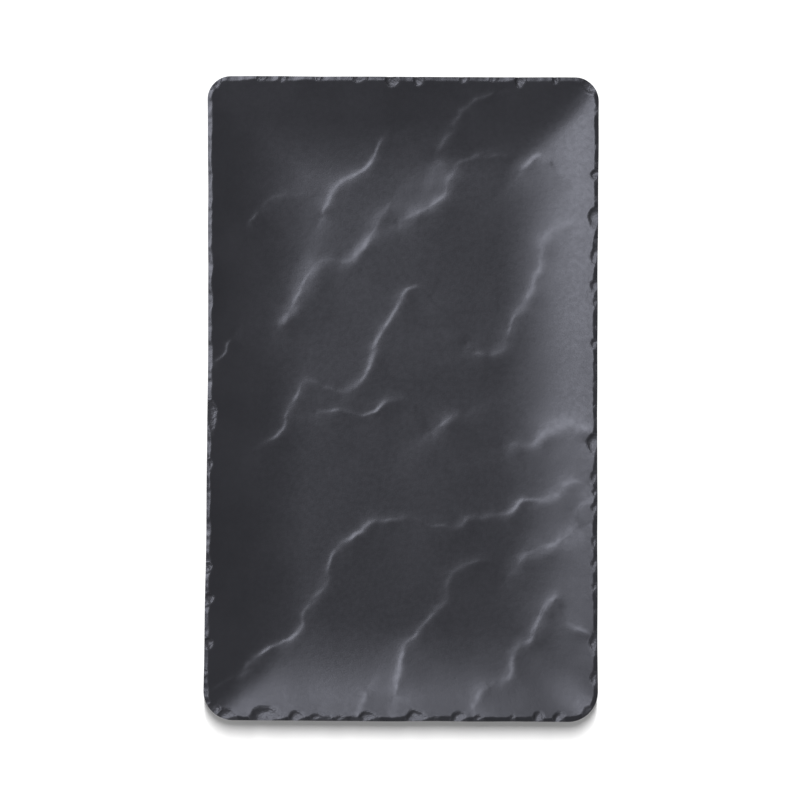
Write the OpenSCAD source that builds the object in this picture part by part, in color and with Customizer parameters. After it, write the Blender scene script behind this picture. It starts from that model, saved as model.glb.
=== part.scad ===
// Rectangular slate-look serving plate: a dished stoneware body on four anti-slip pads.
// The origin is the centre of the footprint, on the table. X runs across, Y along, Z up.

/* [Plate] */
// Width over the rim
plate_w = 200; // [180:1:240]
// Length over the rim
plate_l = 328; // [290:1:380]
// Corner radius of the rim, seen from above
corner_r = 12.5; // [10:0.5:18]
// Thickness of the fired body
wall = 6; // [5:0.5:8]

/* [Dish] */
// Height of the rim above the floor of the dish
dish_depth = 10; // [7:0.5:13]
// Width of the slope along each long side
side_slope = 48; // [40:1:56]
// Width of the slope at each end
end_slope = 42; // [36:1:56]
// Width of the slope that softens each corner, along the diagonal
corner_slope = 53; // [46:1:60]

/* [Rim] */
// Width of the crest between the dish and the bevel
crest_w = 1.2; // [0.8:0.1:2]
// Width and height of the bevel on the outer edge
bevel = 2; // [1:0.25:3]
// Average distance between two flake scars on the edge
chip_pitch = 14; // [12:0.5:24]
// Width of the smallest flake scar
chip_w_min = 5; // [4:0.5:8]
// Width of the largest flake scar
chip_w_max = 12; // [9:0.5:13]
// How far a flake scar bites into the dish, as a share of its width
chip_bite = 0.25; // [0.2:0.05:0.4]
// How far a flake scar drops below the bevel, as a share of its width
chip_drop = 0.1; // [0.05:0.01:0.15]

/* [Cleft face] */
// Height of a cleft ridge above the dish
cleft_step = 0.8; // [0.4:0.1:1.2]
// Width of the riser of a cleft ridge
cleft_riser = 4; // [2.5:0.1:6]
// Length over which a cleft ridge dies away behind its riser
cleft_run = 32; // [24:1:40]

/* [Foot] */
// Width of the foot land around the recessed panel
land_w = 17; // [16:0.5:24]
// Depth of the recessed panel
panel_depth = 1; // [0.5:0.1:1.5]
// Corner radius of the recessed panel
panel_r = 8; // [4:0.5:14]

/* [Pads] */
// Diameter of an anti-slip pad
pad_d = 12; // [9:0.5:14]
// Height of an anti-slip pad
pad_h = 2; // [1.6:0.1:3]
// Radius of the lower edge of a pad
pad_edge_r = 0.5; // [0.2:0.1:0.6]
// Depth of the seat that a pad is bonded into
seat_depth = 0.8; // [0.5:0.1:1.2]
// Gap between a pad and the wall of its seat
seat_clearance = 0.2; // [0.1:0.05:0.4]

/* [Hidden] */

half_w = plate_w / 2;
half_l = plate_l / 2;
base_z = pad_h - seat_depth;
floor_z = base_z + wall;
rim_z = floor_z + dish_depth;

// Where each slope starts, and the radius of its arc
edge_w = bevel + crest_w;
side_flat = half_w - edge_w - side_slope;
end_flat = half_l - edge_w - end_slope;
corner_flat = (half_w + half_l - 2 * corner_r) / sqrt(2) + corner_r - edge_w - corner_slope;
side_arc = arc_radius(side_slope);
end_arc = arc_radius(end_slope);
corner_arc = arc_radius(corner_slope);

// The straight stretches of the rim
straight_w = plate_w - 2 * corner_r;
straight_l = plate_l - 2 * corner_r;
chip_seed = 7;
chip_shift = 0.3;
chip_round = 0.8;
rim_fall = side_slope / (side_arc - dish_depth);

// Pads stand in the middle of the foot land, at its corners
pad_x = side_flat - land_w / 2;
pad_y = end_flat - land_w / 2;
seat_d = pad_d + 2 * seat_clearance;

// Cleft ridges run from lower left to upper right and fall away to the lower right.
// Each point is a share of the half width and half length, so the lines follow the plate.
cleft_fall = [cos(38), -sin(38)];
cleft_sink = 0.5;
cleft_margin = 8;
cleft_root = wall / 2;
cleft_lines = [
    [[-0.77, 0.55], [-0.71, 0.60], [-0.52, 0.64]],
    [[-0.40, 0.59], [-0.36, 0.66], [-0.18, 0.71], [-0.13, 0.79], [-0.08, 0.83]],
    [[0.17, 0.75], [0.27, 0.86], [0.39, 0.94]],
    [[0.02, 0.56], [0.19, 0.62], [0.26, 0.72], [0.51, 0.77]],
    [[-0.92, 0.13], [-0.74, 0.19], [-0.56, 0.24], [-0.44, 0.43], [-0.30, 0.42], [-0.18, 0.50], [-0.08, 0.61]],
    [[-0.74, -0.15], [-0.63, -0.12], [-0.53, 0.04], [-0.47, 0.06], [-0.30, 0.02], [-0.18, 0.08],
        [-0.11, 0.21], [0.02, 0.36]],
    [[0.36, 0.15], [0.47, 0.14], [0.54, 0.20], [0.65, 0.33], [0.72, 0.49], [0.88, 0.56]],
    [[-0.41, -0.04], [-0.20, -0.05], [-0.10, -0.01], [0.02, 0.02]],
    [[0.15, -0.10], [0.25, -0.06], [0.36, -0.03]],
    [[0.56, -0.14], [0.69, -0.14], [0.75, -0.09], [0.88, -0.08]],
    [[-0.55, -0.74], [-0.48, -0.68], [-0.38, -0.58], [-0.35, -0.48],
        [-0.18, -0.40], [0.08, -0.37]],
    [[0.15, -0.40], [0.29, -0.40], [0.36, -0.37], [0.53, -0.36], [0.62, -0.31], [0.78, -0.30],
        [0.88, -0.26]],
    [[0.58, -0.53], [0.70, -0.47], [0.87, -0.41]],
    [[-0.03, -0.91], [0.02, -0.77], [0.18, -0.65], [0.26, -0.54], [0.49, -0.49]],
    [[0.38, -0.92], [0.42, -0.90], [0.55, -0.86], [0.59, -0.77], [0.69, -0.71], [0.80, -0.60]]
];

function arc_radius(slope) = (pow(slope, 2) + pow(dish_depth, 2)) / (2 * dish_depth);

// Height that a slope reaches at a distance from the centre line
function rise(distance, flat, radius) =
    distance <= flat ? 0 : radius - sqrt(pow(radius, 2) - pow(distance - flat, 2));

// Height of the dish at a point of the plan
function dish_z(at) = floor_z + max(
    rise(abs(at.x), side_flat, side_arc),
    rise(abs(at.y), end_flat, end_arc),
    rise(abs(at.x + at.y) / sqrt(2), corner_flat, corner_arc),
    rise(abs(at.x - at.y) / sqrt(2), corner_flat, corner_arc));

// Distance along the fall from a point to the margin inside the rim
function cleft_room(at) =
    min((half_w - cleft_margin - at.x) / cleft_fall.x, -(half_l - cleft_margin + at.y) / cleft_fall.y);

// Cross-section of a cleft ridge as [distance along the fall, height above the dish].
// A share of 0 keeps it under the surface, so a ridge fades out at its ends.
function cleft_section(share, tail) =
    let (top = share * (cleft_step + cleft_sink) - cleft_sink)
    [
        [-cleft_riser / 2, -2 * cleft_sink],
        [cleft_riser / 2, top],
        [(cleft_riser / 2 + tail) / 2, min(top, top / 3)],
        [tail, -2 * cleft_sink],
        [tail, -cleft_root],
        [-cleft_riser / 2, -cleft_root]
    ];

// A section set in its place, following the dish
function cleft_ring(at, share) = [
    for (corner = cleft_section(share, min(cleft_riser / 2 + cleft_run, cleft_room(at))))
        let (spot = at + corner[0] * cleft_fall)
        [spot.x, spot.y, dish_z(spot) + corner[1]]
];

// Endless trough: the space above a floor that is flat and then curves up on both sides
module trough(flat, radius) {
    rotate([90, 0, 0])
        linear_extrude(2 * plate_l, center = true) {
            translate([-flat, 0])
                square([2 * flat, 2 * radius]);
            for (side = [-1, 1])
                translate([side * flat, radius])
                    circle(radius, $fn = 180);
        }
}

// Space above the dish, or above the underside when the arcs grow by the wall
module hollow(bottom, growth) {
    translate([0, 0, bottom])
        intersection() {
            trough(side_flat, side_arc + growth);
            rotate(90)
                trough(end_flat, end_arc + growth);
            rotate(45)
                trough(corner_flat, corner_arc + growth);
            rotate(-45)
                trough(corner_flat, corner_arc + growth);
        }
}

// Half of a bevelled edge, from the middle of the plate out to the rim
module edge_half(reach) {
    polygon([[0, base_z], [reach, base_z], [reach, rim_z - bevel], [reach - bevel, rim_z], [0, rim_z]]);
}

module edge_bar(reach, length) {
    rotate([90, 0, 0])
        linear_extrude(length, center = true) {
            edge_half(reach);
            mirror([1, 0])
                edge_half(reach);
        }
}

// Bevelled block with round corners that the plate is cut from
module rim_blank() {
    edge_bar(half_w, straight_l);
    rotate(90)
        edge_bar(half_l, straight_w);
    for (x = [-1, 1], y = [-1, 1])
        translate([x * straight_w / 2, y * straight_l / 2, 0])
            rotate_extrude($fn = 48)
                edge_half(corner_r);
}

// Shell-shaped scar that a flake leaves on an edge which runs along Y.
// Its ball passes through a point of the dish and a point of the outer face.
module chip(width) {
    bite = width * chip_bite;
    inner = [-edge_w - bite, -bite * rim_fall];
    outer = [0, -bevel - width * chip_drop];
    chord = outer - inner;
    radius = width * chip_round;
    lift = sqrt(pow(radius, 2) - pow(norm(chord) / 2, 2));
    middle = (inner + outer) / 2 + [-chord.y, chord.x] / norm(chord) * lift;
    translate([middle.x, 0, rim_z + middle.y])
        sphere(radius, $fn = 40);
}

module chip_row(reach, length, seed) {
    count = floor(length / chip_pitch);
    shifts = rands(-chip_shift, chip_shift, count, seed);
    widths = rands(chip_w_min, chip_w_max, count, seed + 1);
    for (i = [0 : count - 1])
        translate([reach, ((i + 0.5 + shifts[i]) / count - 0.5) * length, 0])
            chip(widths[i]);
}

// Flake scars along the four sides, and one at each corner
module rim_chips() {
    for (turn = [0, 180]) {
        rotate(turn)
            chip_row(half_w, straight_l, chip_seed + turn);
        rotate(turn + 90)
            chip_row(half_l, straight_w, chip_seed + turn + 90);
    }
    for (x = [-1, 1], y = [-1, 1])
        translate([x * straight_w / 2, y * straight_l / 2, 0])
            rotate(atan2(y, x))
                translate([corner_r, 0, 0])
                    chip((chip_w_min + chip_w_max) / 2);
}

// One ridge: the cleft section swept along its line
module cleft_ridge(line) {
    last = len(line) - 1;
    corners = len(cleft_section(0, 0));
    rings = [
        for (i = [0 : last])
            cleft_ring([line[i].x * half_w, line[i].y * half_l], i == 0 || i == last ? 0 : 1)
    ];
    sides = [
        for (i = [0 : last - 1], j = [0 : corners - 1])
            let (a = i * corners + j)
            let (b = i * corners + (j + 1) % corners)
            each [[a, b + corners, b], [a, a + corners, b + corners]]
    ];
    start = [for (j = [0 : corners - 3]) [corners - 1, j, j + 1]];
    end = [for (cap = start) [for (j = [2, 1, 0]) cap[j] + last * corners]];
    polyhedron([for (ring = rings) each ring], concat(sides, start, end));
}

module foot_panel() {
    x = side_flat - land_w - panel_r;
    y = end_flat - land_w - panel_r;
    translate([0, 0, base_z - panel_depth])
        linear_extrude(2 * panel_depth) {
            square([2 * x, 2 * (y + panel_r)], center = true);
            square([2 * (x + panel_r), 2 * y], center = true);
            for (i = [-1, 1], j = [-1, 1])
                translate([i * x, j * y])
                    circle(panel_r, $fn = 48);
        }
}

module pad_seats() {
    for (x = [-pad_x, pad_x], y = [-pad_y, pad_y])
        translate([x, y, base_z - seat_depth])
            cylinder(h = 2 * seat_depth, d = seat_d, $fn = 64);
}

module plate_body() {
    color([0.2, 0.2, 0.21])
        difference() {
            intersection() {
                rim_blank();
                hollow(base_z, wall);
            }
            difference() {
                hollow(floor_z, 0);
                for (line = cleft_lines)
                    cleft_ridge(line);
            }
            rim_chips();
            foot_panel();
            pad_seats();
        }
}

// Round pad with an eased lower edge
module pad(x, y) {
    color([0.08, 0.08, 0.08])
        translate([x, y, 0])
            rotate_extrude($fn = 64) {
                square([pad_d / 2 - pad_edge_r, pad_h]);
                translate([0, pad_edge_r])
                    square([pad_d / 2, pad_h - pad_edge_r]);
                translate([pad_d / 2 - pad_edge_r, pad_edge_r])
                    circle(pad_edge_r, $fn = 32);
            }
}

module pad_front_left() pad(-pad_x, -pad_y);

module pad_front_right() pad(pad_x, -pad_y);

module pad_rear_left() pad(-pad_x, pad_y);

module pad_rear_right() pad(pad_x, pad_y);

plate_body();
pad_front_left();
pad_front_right();
pad_rear_left();
pad_rear_right();
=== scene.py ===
import math
import random

import bmesh
import bpy
import numpy as np
from mathutils import Matrix, Vector, noise


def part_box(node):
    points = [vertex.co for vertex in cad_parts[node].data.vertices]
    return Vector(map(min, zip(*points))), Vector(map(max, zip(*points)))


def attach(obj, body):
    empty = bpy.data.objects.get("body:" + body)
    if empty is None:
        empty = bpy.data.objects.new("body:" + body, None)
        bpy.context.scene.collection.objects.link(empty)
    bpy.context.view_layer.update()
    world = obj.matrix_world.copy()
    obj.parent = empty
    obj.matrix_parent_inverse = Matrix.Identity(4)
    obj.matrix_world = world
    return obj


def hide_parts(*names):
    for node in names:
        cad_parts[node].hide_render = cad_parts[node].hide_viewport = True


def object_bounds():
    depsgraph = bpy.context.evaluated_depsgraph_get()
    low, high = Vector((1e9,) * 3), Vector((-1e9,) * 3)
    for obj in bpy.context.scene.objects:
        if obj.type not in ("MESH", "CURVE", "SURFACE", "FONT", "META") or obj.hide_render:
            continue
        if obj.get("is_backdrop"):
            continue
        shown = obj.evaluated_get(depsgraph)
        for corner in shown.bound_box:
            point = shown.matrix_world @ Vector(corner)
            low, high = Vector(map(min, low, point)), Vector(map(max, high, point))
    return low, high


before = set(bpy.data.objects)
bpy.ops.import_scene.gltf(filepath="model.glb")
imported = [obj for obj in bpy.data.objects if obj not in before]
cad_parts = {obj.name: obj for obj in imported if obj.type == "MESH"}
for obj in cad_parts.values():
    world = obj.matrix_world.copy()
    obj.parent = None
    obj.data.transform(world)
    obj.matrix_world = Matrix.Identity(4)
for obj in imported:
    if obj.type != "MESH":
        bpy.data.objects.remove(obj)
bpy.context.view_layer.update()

# Plate body, the blank. One piece of black, body-coloured stoneware, pressed in a mould and fired.
# It starts as a flat sheet of clay with the plate's outline, close-meshed where it will be worked:
# along the rim and along the cleft lines of its face. Lengths are in millimetres up to the last step.
mm = 0.001
body_low, body_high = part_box("plate_body")
half_w = body_high.x / mm
half_l = body_high.y / mm
rim_z = body_high.z / mm
base_z = body_low.z / mm
corner_r = 12.5
low_corner_r = 15.5
cell = 2.0
# The cells are halved within the first distance of the rim or of a cleft line, and again in the second.
rim_bands = (8.5, 6.0)
cleft_bands = (4.5, 2.0)
# A step fades out over this length behind its line.
fade_behind = 45.0
# No place counts as nearer to a line than this.
least_distance = 0.01
# A line is softened by cutting this share off each end of its stretches.
corner_cut = 0.25

# Each cleft line is the length of its foot and its points: X, Y and the height of the step there.
# The higher side lies to the right of the line. So a line that climbs faces the light at the upper left,
# and one that falls faces the upper right and is dark.
cleft_lines = [
    # Upper left, a short faint step with a crisp start
    (3.2, [(-81, 90, 0), (-77, 91, 0.25), (-74, 95, 0.28), (-70, 100, 0.26), (-63, 105, 0.28),
           (-53, 105, 0.2), (-45, 104, 0)]),
    (0.8, [(-80, 90, 0), (-77, 91, 0.18), (-75, 93, 0.2), (-73, 96, 0)]),
    # Upper left, a bright step that climbs to the top slope
    (2.4, [(-42, 93, 0), (-40, 97, 0.4), (-37, 103, 0.45), (-35, 108, 0.45), (-30, 112, 0.4),
           (-25, 114, 0.45), (-18, 118, 0.45), (-15, 124, 0.45), (-13, 130, 0.4), (-9, 135, 0.25),
           (-4, 137, 0)]),
    # Top, a soft rise with a fine end towards the rim
    (5.0, [(16, 123, 0), (19, 128, 0.55), (22, 134, 0.8), (27, 142, 0.55), (31, 147, 0.15), (33, 149, 0)]),
    (1.4, [(23, 137, 0), (27, 143, 0.2), (32, 149, 0.35), (37, 153, 0.4), (43, 155, 0.35), (48, 157, 0)]),
    # Above the middle, a broad rise with a fine end
    (4.2, [(-3, 90, 0), (2, 92, 0.4), (7, 95, 0.55), (13, 98, 0.6), (19, 102, 0.62), (22, 106, 0.5),
           (24, 113, 0.32), (28, 119, 0.2), (32, 123, 0.1), (34, 124, 0)]),
    (1.6, [(24, 116, 0), (28, 121, 0.12), (35, 124, 0.22), (43, 125, 0.25), (51, 125, 0.18),
           (57, 123, 0)]),
    # A fine hook at the left rim
    (0.9, [(-98, 17, 0), (-95, 19, 0.5), (-92, 21, 0.55), (-90, 24, 0.55), (-89, 28, 0.4), (-87, 31, 0)]),
    # From there to the upper middle, faint at first and then broad and high
    (4.6, [(-87, 30, 0), (-78, 33, 0.1), (-66, 37, 0.12), (-60, 40, 0.85), (-55, 49, 0.9),
           (-51, 58, 0.85), (-47, 65, 0.65), (-43, 70, 0.5), (-36, 71, 0.4), (-29, 69, 0.5),
           (-22, 74, 0.7), (-18, 81, 0.7), (-12, 91, 0.6), (-8, 98, 0.3), (-5, 103, 0)]),
    # Across the middle: two fine climbing stretches and a dark fall
    (2.2, [(-78, -28, 0), (-73, -25, 0.25), (-69, -22, 0.35), (-63, -20, 0.4), (-60, -14, 0.45),
           (-58, -6, 0.4), (-54, 0, 0.4), (-53, 5, 0.3), (-50, 9, 0.22), (-47, 10, 0.22),
           (-42, 7, 0.22), (-37, 5, 0.22), (-30, 3, 0.22), (-24, 6, 0.35), (-18, 12, 0.45),
           (-15, 20, 0.5), (-14, 28, 0.45), (-10, 35, 0.45), (-6, 41, 0.4), (-2, 48, 0.4),
           (1, 55, 0.35), (4, 57, 0.25), (9, 57, 0.2), (21, 46, 0.2), (30, 35, 0.15), (34, 28, 0)]),
    # A long, softer climb from there to the right rim
    (3.2, [(33, 29, 0), (36, 24, 0.4), (42, 23, 0.5), (47, 23, 0.5), (52, 26, 0.5), (54, 30, 0.45),
           (55, 39, 0.4), (58, 44, 0.38), (63, 48, 0.38), (65, 53, 0.38), (69, 64, 0.36),
           (71, 72, 0.36), (71, 80, 0.34), (73, 84, 0.32), (80, 88, 0.3), (86, 90, 0.2), (92, 91, 0)]),
    # Below the middle, a small step, a dark fall and another small step
    (2.4, [(-44, -7, 0), (-40, -7, 0.2), (-33, -6, 0.3), (-26, -7, 0.25), (-20, -9, 0.25),
           (-14, -7, 0.4), (-10, -3, 0.4), (-5, 0, 0.3), (0, 1, 0.2), (6, -2, 0.15), (9, -9, 0.2),
           (13, -15, 0)]),
    (3.6, [(15, -16, 0), (19, -14, 0.5), (23, -11, 0.65), (28, -8, 0.5), (31, -6, 0.1), (33, -5, 0)]),
    # Right of the middle, a broad step with a crack at the rim
    (4.4, [(52, -24, 0), (57, -23, 0.35), (63, -23, 0.45), (69, -23, 0.5), (71, -19, 0.6),
           (75, -15, 0.65), (82, -13, 0.6), (89, -13, 0.5), (95, -15, 0.4), (101, -18, 0.3)]),
    (0.8, [(90, -12, 0), (93, -14, 0.25), (96, -17, 0.3), (98, -20, 0)]),
    # Upper right corner, a fine hook and a dark fall
    (1.3, [(59, 116, 0), (62, 119, 0.22), (65, 122, 0.28), (68, 125, 0.28), (71, 125, 0.25),
           (74, 122, 0.3), (77, 118, 0.28), (81, 115, 0.2), (88, 112, 0)]),
    # From the lower left corner up to the middle and on to the right rim
    (2.2, [(-98, -150, 0), (-94, -147, 0.35), (-89, -144, 0.4), (-84, -141, 0.3), (-81, -141, 0.5),
           (-76, -134, 0.65), (-71, -130, 0.6), (-66, -127, 0.6), (-60, -124, 0.55), (-54, -121, 0.55),
           (-50, -117, 0.35), (-50, -109, 0.25), (-47, -104, 0.3), (-42, -100, 0.35), (-38, -95, 0.4),
           (-37, -85, 0.35), (-35, -79, 0.4), (-32, -74, 0.45), (-28, -72, 0.45), (-23, -70, 0.45),
           (-18, -65, 0.45), (-14, -62, 0.4), (-5, -62, 0.3), (6, -60, 0.2), (14, -65, 0.2),
           (21, -64, 0.3), (28, -66, 0.3), (32, -62, 0.4), (35, -60, 0.35), (42, -60, 0.35),
           (53, -59, 0.4), (57, -57, 0.45), (61, -51, 0.45), (68, -52, 0.3), (78, -50, 0.4),
           (82, -45, 0.45), (86, -42, 0.4), (90, -42, 0.2), (94, -44, 0)]),
    # Lower right, a broad step and a fine stroke up from its end
    (3.6, [(53, -92, 0), (58, -86, 0.5), (63, -80, 0.6), (69, -76, 0.6), (78, -74, 0.55),
           (83, -71, 0.45), (87, -68, 0.3), (91, -66, 0)]),
    (1.2, [(84, -71, 0), (88, -65, 0.2), (90, -58, 0.25), (92, -55, 0.25), (96, -52, 0.25),
           (101, -49, 0.1)]),
    # From the lower rim to the right of the middle
    (2.6, [(-4, -152, 0), (-2, -147, 0.35), (-1, -139, 0.5), (0, -133, 0.5), (1, -126, 0.45),
           (6, -122, 0.4), (9, -118, 0.4), (14, -112, 0.45), (18, -107, 0.4), (22, -104, 0.35),
           (23, -99, 0.32), (24, -92, 0.3), (26, -88, 0.32), (32, -85, 0.4), (39, -82, 0.3),
           (47, -82, 0.15), (52, -83, 0)]),
    # From the lower rim towards the lower right corner, with a dark fall at its end
    (2.6, [(36, -161, 0), (37, -157, 0.25), (38, -152, 0.35), (41, -147, 0.4), (48, -144, 0.3),
           (54, -143, 0.4), (56, -138, 0.4), (56, -133, 0.35), (58, -127, 0.35), (61, -124, 0.35),
           (66, -123, 0.4), (68, -117, 0.5), (72, -108, 0.5), (75, -103, 0.45), (79, -100, 0.35),
           (81, -104, 0.35), (82, -111, 0.3), (87, -116, 0.35), (92, -117, 0.3), (97, -121, 0)]),
    # A short mark on the lower slope
    (2.0, [(-23, -162, 0), (-21, -159, 0.25), (-18, -151, 0.2), (-17, -147, 0)]),
]


def softened(line):
    """Cuts the corners of a line of points, so that it bends as split stone does."""
    near = line[:-1] * (1 - corner_cut) + line[1:] * corner_cut
    far = line[:-1] * corner_cut + line[1:] * (1 - corner_cut)
    between = np.stack([near, far], axis=1).reshape(-1, line.shape[1])
    return np.vstack([line[:1], between, line[-1:]])


def along_line(places, line):
    """Signed distance of each place from a line, positive behind it, and the step height there.

    The last result is the step as it is felt further behind the line. There all the stretches of the
    line count, each by its length over the fourth power of its distance. For a long straight line
    these weights add up to pi / 2 over the third power of its distance, which gives the mean distance.
    """
    closest = np.full(len(places), np.inf)
    side, step, square = np.ones(len(places)), np.zeros(len(places)), np.ones(len(places))
    weight, lee, felt = np.zeros(len(places)), np.zeros(len(places)), np.zeros(len(places))
    for start, end in zip(line[:-1], line[1:]):
        stretch = end[:2] - start[:2]
        length = np.hypot(*stretch)
        offset = places - start[:2]
        share = np.clip(offset @ stretch / length ** 2, 0, 1)
        gap = offset - share[:, None] * stretch
        distance = np.maximum(np.hypot(gap[:, 0], gap[:, 1]), least_distance)
        across = (stretch[1] * offset[:, 0] - stretch[0] * offset[:, 1]) / length
        height_here = start[2] + share * (end[2] - start[2])
        nearer = distance < closest
        closest = np.where(nearer, distance, closest)
        side = np.where(nearer, np.sign(across), side)
        step = np.where(nearer, height_here, step)
        square = np.where(nearer, np.minimum(np.abs(across) / distance, 1), square)
        pull = length / distance ** 4
        weight += pull
        lee += pull * across / distance
        felt += pull * height_here
    away = (math.pi / 2 / weight) ** (1 / 3)
    shelter = (1 - (1 - np.clip(lee / weight, 0, 1)) ** 3) * (1 - (1 - square) ** 3)
    behind = shelter * felt / weight * np.exp(-away / fade_behind)
    return side * closest, step, behind


def distance_to_cleft(places):
    return np.min([np.abs(along_line(places, line)[0]) for _, line in clefts], axis=0)


def split_faces(sheet, wanted):
    """Cuts every edge of the wanted faces in half."""
    chosen = [face for face, split in zip(sheet.faces, wanted) if split]
    edges = dict.fromkeys(edge for face in chosen for edge in face.edges)
    bmesh.ops.subdivide_edges(sheet, edges=list(edges), cuts=1, use_grid_fill=True)


clefts = [(foot, softened(softened(np.array(line, dtype=float)))) for foot, line in cleft_lines]
body = bmesh.new()
cells_across, cells_along = round(2 * half_w / cell), round(2 * half_l / cell)
bmesh.ops.create_grid(body, x_segments=cells_across, y_segments=cells_along, size=1)
bmesh.ops.scale(body, vec=(half_w, half_l, 1), verts=body.verts)
for rim_band, cleft_band in zip(rim_bands, cleft_bands):
    middles = np.array([face.calc_center_median().xy for face in body.faces])
    from_rim = np.min([half_w, half_l] - np.abs(middles), axis=1)
    split_faces(body, (from_rim < rim_band) | (distance_to_cleft(middles) < cleft_band))

# The square corners of the sheet are drawn in to quarter circles, rounder at the lower end.
flat = np.array([vert.co.xy for vert in body.verts])
from_edge = np.min([half_w, half_l] - np.abs(flat), axis=1)
radius_here = np.where(flat[:, 1:] < 0, low_corner_r, corner_r)
past_corner = np.clip(np.abs(flat) - [half_w, half_l] + radius_here, 0, None)
in_corner = (past_corner > 0).all(axis=1)
from_centre = np.maximum(np.hypot(past_corner[:, 0], past_corner[:, 1]), least_distance)
reach = past_corner.max(axis=1) / from_centre
drawn_in = np.sign(flat) * (past_corner * (reach[:, None] - 1))
plan = flat + np.where(in_corner[:, None], drawn_in, 0)

# Plate body, the dish. The middle is flat, and the slopes bend up from it to the rim. Two slopes meet
# in a soft valley at each corner. Hand finishing leaves the face a little uneven.
dish_depth = 10.0
floor_z = rim_z - dish_depth
# A slope reaches its full height this far in from the rim.
crest = 2.0
# A slope is given by the place where it starts, from the middle of the plate, and the length of its bend.
side_slope = (49.0, 46.0)
top_slope = (114.0, 30.0)
bottom_slope = (114.0, 44.0)
# How sharp a valley is at its foot, and how much sharper for each millimetre up.
valley = (2.6, 0.28)
# A pattern of unevenness is given by its size and its amount.
face_waves = ((45.0, 0.22), (16.0, 0.06))


def slope_height(distance, slope, rim_at):
    """Height of a slope that bends up over its second length, after a flat part of the first."""
    flat_part, bend = slope
    steepness = dish_depth / (rim_at - flat_part - bend / 2)
    run = np.clip(distance - flat_part, 0, None)
    return steepness * np.where(run < bend, run ** 2 / (2 * bend), run - bend / 2)


def dish_height(places, sides, top, bottom):
    """Height of the dish above its floor, with its side slopes and the slopes of its two ends."""
    side = slope_height(np.abs(places[:, 0]), sides, half_w - crest)
    end = slope_height(places[:, 1], top, half_l - crest)
    end += slope_height(-places[:, 1], bottom, half_l - crest)
    sharpness = valley[0] + valley[1] * np.maximum(side, end)
    return (side ** sharpness + end ** sharpness) ** (1 / sharpness)


def waviness(places, pattern, seed):
    size, amount = pattern
    return amount * np.array([noise.noise((x / size, y / size, seed)) for x, y in places])


height = floor_z + dish_height(plan, side_slope, top_slope, bottom_slope)
for waves in face_waves:
    height += waviness(plan, waves, seed=3)

# Plate body, the cleft face. The mould was taken from split slate: its layers end in low steps.
# Each step rises slowly from its foot to a rounded brow, is crisp in places, and fades out behind.
# The lines break in small angles, so the places are shaken a little before they are measured.
# The heights given in the lines are scaled by this, and are uneven within brow_reach of the line.
step_scale = 1.6
step_waves = (9.0, 0.6)
brow_share = 0.35
brow_reach = 6.0
foot_waves = (15.0, 0.4)
shaking = ((6.0, 0.8), (3.0, 0.2))
# Crispness comes and goes, and counts for less where a line's own foot is longer than crisp_up_to.
crisp_share = 0.4
crisp_mean = 0.5
crisp_waves = (11.0, 1.5)
crisp_foot = 0.6
crisp_up_to = 2.4
on_the_line = 0.05


def climb(distance, foot):
    """Share of a step that is climbed at a distance from its line, up to the rounded brow."""
    return np.exp(-brow_share * np.logaddexp(0, 1 - distance / (foot * brow_share)))


shaken = plan.copy()
for waves in shaking:
    shaken += np.stack([waviness(plan, waves, seed=21), waviness(plan, waves, seed=22)], axis=1)
uneven_step = waviness(plan, step_waves, seed=15)
foot_spread = 1 + waviness(plan, foot_waves, seed=16)
crisp = crisp_share * np.clip(crisp_mean + waviness(plan, crisp_waves, seed=17), 0, 1)
for foot, line in clefts:
    distance, step, behind = along_line(shaken, line)
    sharp = crisp * min(crisp_up_to / foot, 1) ** 2
    climbed = (1 - sharp) * climb(distance, foot * foot_spread) + sharp * climb(distance, crisp_foot)
    scaled = step_scale + uneven_step * np.exp(-np.clip(distance, 0, None) / brow_reach)
    height += scaled * np.where(distance < on_the_line, step, behind) * climbed

# Plate body, the knapped rim. The edge is rounded over, and shell-shaped flakes are struck off it.
# Each scar is given by its place along the side, its width and how far it reaches in.
bevel_w = 2.1
# How steeply the bevel falls at the bottom, at the sides and at the top.
bevel_fall = (0.72, 0.7, 0.47)
bevel_waves = (9.0, 0.45)
bevel_ripple = (3.0, 0.15)
# A scar is as deep as this share of its reach, and deeper on the side that it was struck from.
scar_depth = 0.3
scar_tilt = 0.75
# The middle of its bowl lies this share of its reach in from the edge, and leans to that side.
scar_middle = 0.08
scar_lean = (0.05, 0.3)
scar_ragged = (3.6, 0.2)
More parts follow.
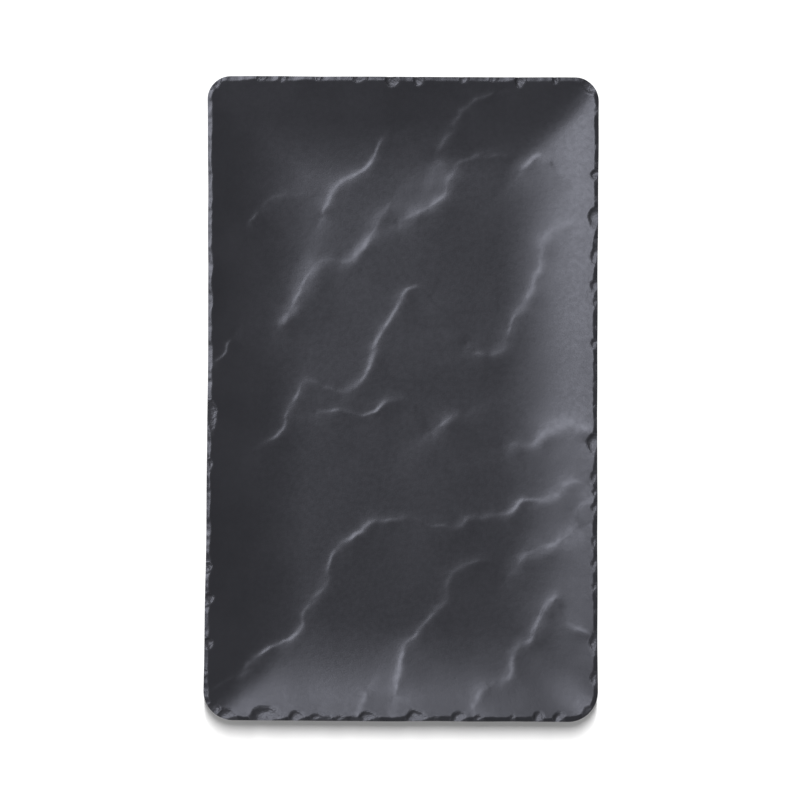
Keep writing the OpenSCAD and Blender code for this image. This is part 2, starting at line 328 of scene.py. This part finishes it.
# From this depth on the clay in a scar is quite bare.
bare_depth = 0.3
small_scars = 60
small_sides = ("bottom", "right", "right", "right", "left")
small_width = (3.0, 7.0)
small_reach = (1.3, 2.4)
scars = {
    "bottom": [(-87.5, 13, 5.8), (-66.5, 19.5, 6.8), (-51.5, 11, 4.8), (-41.5, 8.5, 3.8),
               (-35.5, 5, 2.4), (-29.5, 7, 2.6), (-22.5, 6, 2.4), (-15, 12.5, 4.8), (9, 14, 5.4),
               (30, 9.5, 5), (40, 6, 3.4), (57, 4, 3.2), (70, 6.5, 5), (80.5, 7, 4.8)],
    "right": [(128, 4, 2), (113, 7, 4.6), (91, 13, 5.6), (71, 11, 4.2), (56, 9, 4.2), (47, 10, 2.8),
              (27, 7, 3.8), (6, 6, 2.4), (-5, 4, 2.2), (-24, 13, 5.6), (-41, 8, 3.8), (-49, 6, 3),
              (-57, 8, 3.4), (-74, 10, 3.2), (-86, 10, 3.2), (-97, 7, 3), (-125, 14, 4), (-143, 10, 3.8)],
    "left": [(-11, 21, 5.2), (-35, 8, 3.5), (-87, 7, 3.8), (-103, 8, 4.8), (-126, 8, 5), (-140, 5, 2.5)],
    "top": [(-72, 7, 2.6), (-61, 5, 3), (-43, 4, 2.4), (-22, 10, 3), (-5, 9, 5.4), (8, 7, 4.6),
            (31, 6, 3.2), (46, 6, 2.4), (60, 7, 5), (78, 4, 4)],
}
# A corner scar is given by the corner's signs in X and Y, its width and how far it reaches in.
corner_scars = [(-1, 1, 9, 2.8), (1, 1, 11, 5.5), (-1, -1, 9, 5), (1, -1, 9, 3)]
# The higher this power, the more quickly the outward direction turns at a corner.
corner_turn = 9
inward = {"bottom": (0, 1), "right": (-1, 0), "left": (1, 0), "top": (0, -1)}
# The side of the blow, as a sign: the left side of the scars at both ends, the upper side at both sides.
struck_from = {"bottom": 1, "right": -1, "left": 1, "top": -1}
knapping = random.Random(12)


def scar_bowl(at, inwards, width, reach_in, skew):
    """Depth of a shell-shaped scar at each place of the plan, below 0 outside it."""
    offset = plan - np.array(at)
    inset = offset @ np.array(inwards)
    beside = offset @ np.array((inwards[1], -inwards[0])) / (width / 2)
    beside = beside + skew * np.clip(1 - beside ** 2, 0, None)
    middle = reach_in * scar_middle
    radius = np.hypot(beside, (inset - middle) / (reach_in - middle)) * (1 + ragged)
    tilted = 1 - scar_tilt * np.sign(skew) * np.clip(beside, -1, 1)
    return reach_in * scar_depth * tilted * (1 - radius ** 3)


def edge_point(side, along):
    normal = Vector(inward[side])
    return (along, -normal.y * half_l) if normal.x == 0 else (-normal.x * half_w, along)


def outward(places):
    """Direction out of the plate, square to the nearest side and turning quickly at a corner."""
    turned = (places / [half_w, half_l]) ** corner_turn
    return turned / np.maximum(np.hypot(turned[:, 0], turned[:, 1]), 1e-9)[:, None]


ragged = waviness(plan, scar_ragged, seed=11)
scar = np.full(len(plan), -1.0)
for side, marks in scars.items():
    for along, width, reach_in in marks:
        skew = struck_from[side] * knapping.uniform(*scar_lean)
        scar = np.maximum(scar, scar_bowl(edge_point(side, along), inward[side], width, reach_in, skew))
for turn_x, turn_y, width, reach_in in corner_scars:
    toward = Vector((turn_x, turn_y)).normalized()
    turn_r = corner_r if turn_y > 0 else low_corner_r
    at = Vector((turn_x * (half_w - turn_r), turn_y * (half_l - turn_r))) + toward * turn_r
    scar = np.maximum(scar, scar_bowl(at, -toward, width, reach_in, 0))
for _ in range(small_scars):
    side = knapping.choice(small_sides)
    span = half_l - corner_r if inward[side][1] == 0 else half_w - corner_r
    along = knapping.uniform(-span, span)
    width = knapping.uniform(*small_width)
    reach_in = knapping.uniform(*small_reach)
    skew = struck_from[side] * knapping.uniform(*scar_lean)
    if all(abs(along - other) > (width + wide) / 2 for other, wide, _ in scars[side]):
        scar = np.maximum(scar, scar_bowl(edge_point(side, along), inward[side], width, reach_in, skew))
uneven_bevel = 1 + waviness(plan, bevel_waves, seed=5) + waviness(plan, bevel_ripple, seed=6)
bevel_here = bevel_w * uneven_bevel
fall_here = np.interp(outward(plan)[:, 1], (-1, 0, 1), bevel_fall)
bevelled = fall_here * np.clip(bevel_here - from_edge, 0, None)
height -= np.maximum(bevelled, scar)

# The rim isn't quite straight: the long sides draw in during firing, and the edge wanders a little.
# Both fade towards the middle of the plate, by a power of the share of the way out to the rim.
drawn_left, drawn_right = 1.2, 0.7
drawn_power = 4
wander = 0.3
wander_inset = 0.5
wander_waves = (30.0, 1.0)
wander_power = 8
way_out = plan / [half_w, half_l]
sag = 1 - way_out[:, 1] ** 2
drawn = np.where(way_out[:, 0] < 0, drawn_left, -drawn_right) * sag * way_out[:, 0] ** drawn_power
ripple = np.stack([waviness(plan, wander_waves, seed=8), waviness(plan, wander_waves, seed=9)], axis=1)
shift = np.abs(way_out) ** wander_power * (ripple - wander_inset) * np.sign(plan) * wander
moved = plan + np.stack([drawn, np.zeros(len(plan))], axis=1) + shift
for vert, (x, y), z in zip(body.verts, moved, height):
    vert.co = (x, y, z)
raw_layer = body.verts.layers.float.new("raw")
for vert, depth in zip(body.verts, scar):
    vert[raw_layer] = min(max(depth / bare_depth, 0.0), 1.0)

# Plate body, the outer face and underside. The broken edge stands nearly upright and is rough.
# Under it the body curves in, a wall's thickness below the dish, to a flat foot.
face_rows = 4
face_rough = 0.5
face_lean = 0.15
face_pattern = Vector((7.0, 7.0, 3.5))
face_roughness, face_fineness, face_layers = 0.8, 2.0, 3
face_level = 0.4
under_rows = 5
under_side, under_end = (49.0, 34.0), (119.0, 30.0)
foot_share = (under_side[0] / half_w, under_end[0] / half_l)


def pull_row(edges):
    """Extrudes an open edge by one row of faces and returns the new open edge and its vertices."""
    grown = bmesh.ops.extrude_edge_only(body, edges=edges)["geom"]
    verts = [part for part in grown if isinstance(part, bmesh.types.BMVert)]
    edges = [part for part in grown if isinstance(part, bmesh.types.BMEdge) and part.is_boundary]
    return edges, verts


def places_of(verts):
    return np.array([vert.co.xy for vert in verts])


def underside_z(verts):
    return base_z + dish_height(places_of(verts), under_side, under_end, under_end)


def broken_face(place):
    """How far the broken face stands back at a place, as a share: 0 on the parts left standing."""
    scaled = Vector([along / size for along, size in zip(place, face_pattern)])
    return min(noise.fractal(scaled, face_roughness, face_fineness, face_layers), face_level) - face_level


open_edge = [edge for edge in body.edges if edge.is_boundary]
crisp_edges = list(open_edge)
for row in range(face_rows):
    open_edge, row_verts = pull_row(open_edge)
    for vert, low, out in zip(row_verts, underside_z(row_verts), outward(places_of(row_verts))):
        vert.co.z += (low - vert.co.z) / (face_rows - row)
        back = face_rough * broken_face(vert.co) / face_rows - face_lean
        vert.co.xy += Vector(out) * back
        vert[raw_layer] = 1.0
crisp_edges += open_edge
for row in range(under_rows):
    open_edge, row_verts = pull_row(open_edge)
    before = [1 - (1 - share) * row / under_rows for share in foot_share]
    after = [1 - (1 - share) * (row + 1) / under_rows for share in foot_share]
    bmesh.ops.scale(body, vec=(after[0] / before[0], after[1] / before[1], 1), verts=row_verts)
    for vert, low in zip(row_verts, underside_z(row_verts)):
        vert.co.z = low
        vert[raw_layer] = 0.0

# Plate body, the foot. A flat land is left bare for the kiln shelf, round a panel pressed in a little.
# Four round seats in the land take the anti-slip pads.
land_w = 17.0
panel_r = 8.0
panel_steps = 48
seat_steps = 64
panel_depth = 1.0
panel_draft = 0.6
seat_clearance = 0.2
pad_nodes = ("pad_front_left", "pad_front_right", "pad_rear_left", "pad_rear_right")


def ring(radius, steps):
    """Makes a circle of edges on the foot, turned by half a step so that no point lies on an axis."""
    half_step = Matrix.Rotation(math.pi / steps, 4, "Z") @ Matrix.Translation((0, 0, base_z))
    made = bmesh.ops.create_circle(body, segments=steps, radius=radius, matrix=half_step)["verts"]
    return made, list(dict.fromkeys(edge for vert in made for edge in vert.link_edges))


def sink(edges, depth, draft):
    """Sinks a loop of the foot into the body, a little smaller at its top, and closes it."""
    top, verts = pull_row(edges)
    middle = sum((vert.co for vert in verts), Vector()) / len(verts)
    for vert in verts:
        away = vert.co - middle
        vert.co += Vector((-math.copysign(draft, away.x), -math.copysign(draft, away.y), depth))
    bmesh.ops.edgeloop_fill(body, edges=top)
    return top


panel_verts, panel_edge = ring(panel_r, panel_steps)
for vert in panel_verts:
    vert.co.x += math.copysign(under_side[0] - land_w - panel_r, vert.co.x)
    vert.co.y += math.copysign(under_end[0] - land_w - panel_r, vert.co.y)
recesses = [(panel_edge, panel_depth, panel_draft)]
for pad_node in pad_nodes:
    pad_low, pad_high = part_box(pad_node)
    seat_r = (pad_high.x - pad_low.x) / mm / 2 + seat_clearance
    seat_verts, seat_edge = ring(seat_r, seat_steps)
    middle = (pad_low + pad_high) / 2 / mm
    bmesh.ops.translate(body, vec=(middle.x, middle.y, 0), verts=seat_verts)
    recesses.append((seat_edge, pad_high.z / mm - base_z, 0))
foot_edges = open_edge + [edge for edges, _, _ in recesses for edge in edges]
land = bmesh.ops.triangle_fill(body, use_beauty=True, edges=foot_edges, normal=(0, 0, -1))["geom"]
crisp_edges += foot_edges
for edges, depth, draft in recesses:
    crisp_edges += sink(edges, depth, draft)
for face in land:
    if isinstance(face, bmesh.types.BMFace):
        for vert in face.verts:
            vert[raw_layer] = 1.0

bmesh.ops.scale(body, vec=(mm, mm, mm), verts=body.verts)
bmesh.ops.recalc_face_normals(body, faces=body.faces)
for face in body.faces:
    face.smooth = True
for edge in crisp_edges:
    edge.smooth = False
body_mesh = bpy.data.meshes.new("plate_body_fired")
body.to_mesh(body_mesh)
body.free()
plate = bpy.data.objects.new("plate_body_fired", body_mesh)
bpy.context.scene.collection.objects.link(plate)

# Stoneware, the finish of the plate body. Black clay, matt with a slight satin sheen and a fine grain.
# The struck scars and the foot are bare and rougher, and a little greyer.
stone_dark = (0.0115, 0.0115, 0.0135, 1)
stone_pale = (0.0175, 0.0175, 0.0205, 1)
stone_raw = (0.028, 0.028, 0.032, 1)
stone_sheen = (0.84, 0.86, 1.0, 1)
satin_range = (0.31, 0.43)
raw_rougher = 0.06


def add_node(tree, kind, sockets, **settings):
    """Adds a shader node, sets its properties, and sets or links the sockets named or counted."""
    made = tree.nodes.new(kind)
    for name, value in settings.items():
        setattr(made, name, value)
    for name, value in sockets.items():
        if isinstance(value, bpy.types.NodeSocket):
            tree.links.new(value, made.inputs[name])
        else:
            made.inputs[name].default_value = value
    return made


def new_material(name):
    material = bpy.data.materials.new(name)
    material.use_nodes = True
    material.node_tree.nodes.clear()
    return material, material.node_tree


def noise_node(tree, place, scale, detail):
    sockets = {"Vector": place, "Scale": scale, "Detail": detail}
    return add_node(tree, "ShaderNodeTexNoise", sockets).outputs["Fac"]


def math_node(tree, operation, *values):
    sockets = dict(enumerate(values))
    return add_node(tree, "ShaderNodeMath", sockets, operation=operation).outputs[0]


def bump_node(tree, height, strength, distance, **over):
    """Adds a bump of a height in metres, over the normal of another one where it is given."""
    sockets = {"Height": height, "Strength": strength, "Distance": distance, **over}
    return add_node(tree, "ShaderNodeBump", sockets).outputs["Normal"]


def spread(tree, value, taken, given):
    """Stretches a value from one range to another."""
    ends = {"Value": value, "From Min": taken[0], "From Max": taken[1],
            "To Min": given[0], "To Max": given[1]}
    return add_node(tree, "ShaderNodeMapRange", ends, interpolation_type="SMOOTHSTEP").outputs["Result"]


def mixed(tree, factor, first, second):
    """Mixes two colours, whose sockets are the node's seventh and eighth."""
    return add_node(tree, "ShaderNodeMix", {0: factor, 6: first, 7: second}, data_type="RGBA").outputs[2]


stoneware, tree = new_material("black_stoneware")
place = add_node(tree, "ShaderNodeTexCoord", {}).outputs["Object"]
bare = add_node(tree, "ShaderNodeAttribute", {}, attribute_name="raw").outputs["Fac"]
clouds = noise_node(tree, place, scale=24.0, detail=4.0)
specks = noise_node(tree, place, scale=420.0, detail=3.0)
grain = noise_node(tree, place, scale=1500.0, detail=3.0)
chips = noise_node(tree, place, scale=700.0, detail=3.0)
fired_tone = mixed(tree, spread(tree, clouds, (0.35, 0.65), (0, 1)), stone_dark, stone_pale)
tone = mixed(tree, bare, fired_tone, stone_raw)
satin = spread(tree, specks, (0, 1), satin_range)
roughness = math_node(tree, "MULTIPLY_ADD", bare, raw_rougher, satin)
fine = bump_node(tree, grain, strength=0.1, distance=0.0002)
pitted = bump_node(tree, specks, strength=0.08, distance=0.0004, Normal=fine)
broken = bump_node(tree, math_node(tree, "MULTIPLY", bare, chips), strength=0.35, distance=0.0012,
                   Normal=pitted)
clay = add_node(tree, "ShaderNodeBsdfPrincipled", {
    "Base Color": tone, "Roughness": roughness, "IOR": 1.6, "Specular Tint": stone_sheen, "Normal": broken})
add_node(tree, "ShaderNodeOutputMaterial", {"Surface": clay.outputs["BSDF"]})
body_mesh.materials.append(stoneware)
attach(plate, "root")
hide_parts("plate_body")

# Anti-slip pads. Four round buttons of black silicone rubber, moulded with an eased lower edge.
# Each is bonded into its seat in the foot and stands out of it by about a millimetre.
pad_steps = 48
pad_edge = 0.5 * mm
edge_segments = 4
rubber_black = (0.014, 0.014, 0.015, 1)
rubber, tree = new_material("silicone_rubber")
place = add_node(tree, "ShaderNodeTexCoord", {}).outputs["Object"]
bloom = spread(tree, noise_node(tree, place, scale=300.0, detail=3.0), (0.3, 0.7), (0.62, 0.74))
mould_grain = noise_node(tree, place, scale=2500.0, detail=2.0)
moulded = bump_node(tree, mould_grain, strength=0.1, distance=0.0001)
silicone = add_node(tree, "ShaderNodeBsdfPrincipled", {
    "Base Color": rubber_black, "IOR": 1.41, "Roughness": bloom, "Normal": moulded})
add_node(tree, "ShaderNodeOutputMaterial", {"Surface": silicone.outputs["BSDF"]})
pads = []
for pad_node in pad_nodes:
    pad_low, pad_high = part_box(pad_node)
    middle = (pad_low + pad_high) / 2
    pad_r = (pad_high.x - pad_low.x) / 2
    button = bmesh.new()
    half_section = [(0, pad_low.z), (pad_r, pad_low.z), (pad_r, pad_high.z), (0, pad_high.z)]
    corners = [button.verts.new((middle.x + out, middle.y, z)) for out, z in half_section]
    sides = [button.edges.new(pair) for pair in zip(corners, corners[1:])]
    bmesh.ops.spin(button, geom=corners + sides, cent=(middle.x, middle.y, 0), axis=(0, 0, 1),
                   angle=2 * math.pi, steps=pad_steps, use_merge=True)
    bmesh.ops.remove_doubles(button, verts=button.verts, dist=pad_edge / 100)
    bmesh.ops.recalc_face_normals(button, faces=button.faces)
    # The lower rim is every low edge that doesn't run to the middle, where all the faces meet.
    on_rim = [vert for vert in button.verts if vert.co.z < middle.z and len(vert.link_faces) < 5]
    under = [edge for edge in button.edges if all(vert in on_rim for vert in edge.verts)]
    bmesh.ops.bevel(button, geom=under, affect="EDGES", offset=pad_edge, segments=edge_segments,
                    profile=0.5, material=-1)
    for face in button.faces:
        face.smooth = len(face.verts) == 4
    pad_mesh = bpy.data.meshes.new(f"{pad_node}_moulded")
    button.to_mesh(pad_mesh)
    button.free()
    pad_mesh.materials.append(rubber)
    pad = bpy.data.objects.new(f"{pad_node}_moulded", pad_mesh)
    bpy.context.scene.collection.objects.link(pad)
    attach(pad, "root")
    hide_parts(pad_node)
    pads.append(pad)

# Floor and light. A plain white table top and dim, even surroundings, as in a small studio.
# A broad soft box at the upper left lights the plate and its pads alone, and a strip lamp high above lights
# the table top alone, so that the table stays white up to a short shadow below the plate.
floor_half = 6.0
table_white = (0.86, 0.86, 0.86, 1)
table_lift = 0.07
surroundings = 0.43
floor_mesh = bpy.data.meshes.new("table_top")
table_top = bmesh.new()
bmesh.ops.create_grid(table_top, x_segments=1, y_segments=1, size=floor_half)
table_top.to_mesh(floor_mesh)
table_top.free()
floor = bpy.data.objects.new("table_top", floor_mesh)
bpy.context.scene.collection.objects.link(floor)
floor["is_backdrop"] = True
white, tree = new_material("white_table")
ray = add_node(tree, "ShaderNodeLightPath", {}).outputs
seen = math_node(tree, "MAXIMUM", ray["Is Camera Ray"], ray["Is Glossy Ray"])
shown = math_node(tree, "MAXIMUM", seen, ray["Is Transmission Ray"])
lift = math_node(tree, "MULTIPLY", shown, table_lift)
paper = add_node(tree, "ShaderNodeBsdfPrincipled", {
    "Base Color": table_white, "Roughness": 0.9, "Specular IOR Level": 0.0,
    "Emission Color": (1, 1, 1, 1), "Emission Strength": lift})
add_node(tree, "ShaderNodeOutputMaterial", {"Surface": paper.outputs["BSDF"]})
floor_mesh.materials.append(white)

world = bpy.data.worlds.new("studio")
world.use_nodes = True
bpy.context.scene.world = world
tree = world.node_tree
tree.nodes.clear()
sky = add_node(tree, "ShaderNodeBackground", {"Strength": surroundings})
add_node(tree, "ShaderNodeOutputWorld", {"Surface": sky.outputs["Background"]})


def soft_lamp(name, at, width, length, radiance, lit):
    """Adds a rectangular lamp that faces the plate and lights only the objects given."""
    light = bpy.data.lights.new(name, "AREA")
    light.shape = "RECTANGLE"
    light.size, light.size_y = width, length
    light.energy = radiance * width * length * math.pi
    lamp = bpy.data.objects.new(name, light)
    lamp.location = at
    lamp.rotation_euler = at.to_track_quat("Z", "Y").to_euler()
    lamp.light_linking.receiver_collection = bpy.data.collections.new(f"lit_by_{name}")
    for thing in lit:
        lamp.light_linking.receiver_collection.objects.link(thing)
    bpy.context.scene.collection.objects.link(lamp)


soft_lamp("soft_box", Vector((-0.64, 0.62, 1.28)), width=1.44, length=0.787, radiance=6.6,
          lit=[plate] + pads)
soft_lamp("strip_lamp", Vector((0.0, 2.1, 5.6)), width=0.3, length=3.1, radiance=142.0, lit=[floor])

# Camera, almost straight above the plate, on a long lens and with a touch of roll.
# Its distance gives the photograph's scale, in metres of the plate for each pixel.
elevation = math.radians(86.5)
roll = math.radians(0.27)
lens = 200.0
sensor = 36.0
photo_pixels = 800
pixel = 0.5086 * mm
camera_distance = photo_pixels * pixel * lens / sensor
far_clip = 30
aim = Vector((-0.001, -0.001, 0.012))
camera_data = bpy.data.cameras.new("camera")
camera_data.lens = lens
camera_data.sensor_width = sensor
camera_data.clip_end = far_clip
camera = bpy.data.objects.new("camera", camera_data)
away = Vector((0, -math.cos(elevation), math.sin(elevation)))
camera.location = aim + away * camera_distance
turned = away.to_track_quat("Z", "Y").to_matrix() @ Matrix.Rotation(roll, 3, "Z")
camera.rotation_euler = turned.to_euler()
bpy.context.scene.collection.objects.link(camera)
bpy.context.scene.camera = camera
bpy.context.scene.view_settings.view_transform = "Standard"

low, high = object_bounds()
